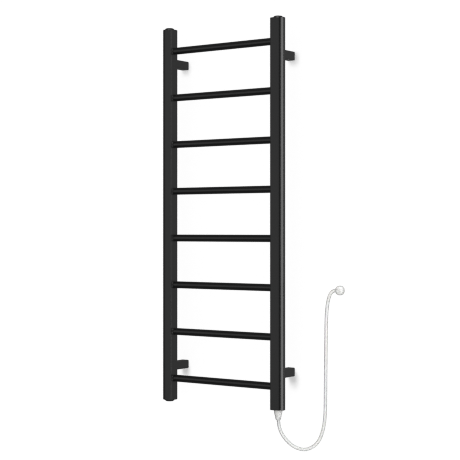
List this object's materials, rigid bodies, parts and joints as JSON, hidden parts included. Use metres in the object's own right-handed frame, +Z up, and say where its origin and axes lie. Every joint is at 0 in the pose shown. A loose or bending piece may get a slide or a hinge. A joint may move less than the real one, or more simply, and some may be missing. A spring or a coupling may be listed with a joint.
{
  "type": "towel warmer rack",
  "caption": "Wall-mounted ladder rack with D-section posts and round bars, heated by a cartridge in one post and fed by a white mains lead with a round angled plug.",
  "frame": {"origin": "centre of the four wall fixing holes, in the plane of the wall", "axes": "+Y into the wall, +X to the right as seen from the front, +Z up; the bars' side faces -Y"},
  "size_m": [0.5977, 0.105, 1.2573],
  "materials": {
    "satin_black": "satin powder coat",
    "bare_steel": "zinc plated",
    "stainless": "drawn tube",
    "zinc": "die cast",
    "brass": "machined",
    "tinned_copper": "tinned",
    "resistance_alloy": "drawn wire",
    "ceramic": "pressed powder",
    "rubber": "matt",
    "silicone": "matt",
    "white_vinyl": "soft vinyl, slight sheen",
    "grey_nylon": "matt",
    "wire_black": "smooth",
    "wire_white": "smooth",
    "wire_green": "smooth"
  },
  "bodies": {
    "root": {"post_left": "satin_black", "post_right": "satin_black", "bar_1": "satin_black", "bar_2": "satin_black", "bar_3": "satin_black", "bar_4": "satin_black", "bar_5": "satin_black", "bar_6": "satin_black", "bar_7": "satin_black", "bar_8": "satin_black", "end_plate_left_top": "satin_black", "screw_plug_left_top": "satin_black", "end_plate_right_top": "satin_black", "screw_plug_right_top": "satin_black", "end_plate_left_bottom": "satin_black", "screw_plug_left_bottom": "satin_black", "end_plate_right_bottom": "satin_black", "plug_seals": "rubber", "heater_bulkhead": "bare_steel", "heater_head": "brass", "heater_seal": "rubber", "heater_sheath": "stainless", "heater_core": "ceramic", "heater_winding": "resistance_alloy", "heater_insulation": "ceramic", "heater_end_seal": "silicone", "heater_pins": "bare_steel", "splice_live": "tinned_copper", "splice_neutral": "tinned_copper", "thermal_cutout": "bare_steel", "wire_live": "wire_black", "wire_neutral": "wire_white", "wire_earth": "wire_green", "earth_tag": "tinned_copper", "earth_screw": "bare_steel", "cord_boot": "white_vinyl", "boot_nut": "grey_nylon", "power_cord": "white_vinyl", "mains_plug_body": "white_vinyl", "mains_plug_insert": "grey_nylon", "blade_live": "brass", "blade_neutral": "brass", "earth_pin": "brass", "sleeve_left_top": "satin_black", "wall_block_left_top": "zinc", "post_block_left_top": "zinc", "sleeve_left_bottom": "satin_black", "wall_block_left_bottom": "zinc", "post_block_left_bottom": "zinc", "sleeve_right_top": "satin_black", "wall_block_right_top": "zinc", "post_block_right_top": "zinc", "sleeve_right_bottom": "satin_black", "wall_block_right_bottom": "zinc", "post_block_right_bottom": "zinc", "bracket_studs": "bare_steel", "stud_nuts": "bare_steel", "grub_screws": "bare_steel"}
  },
  "joints": []
}
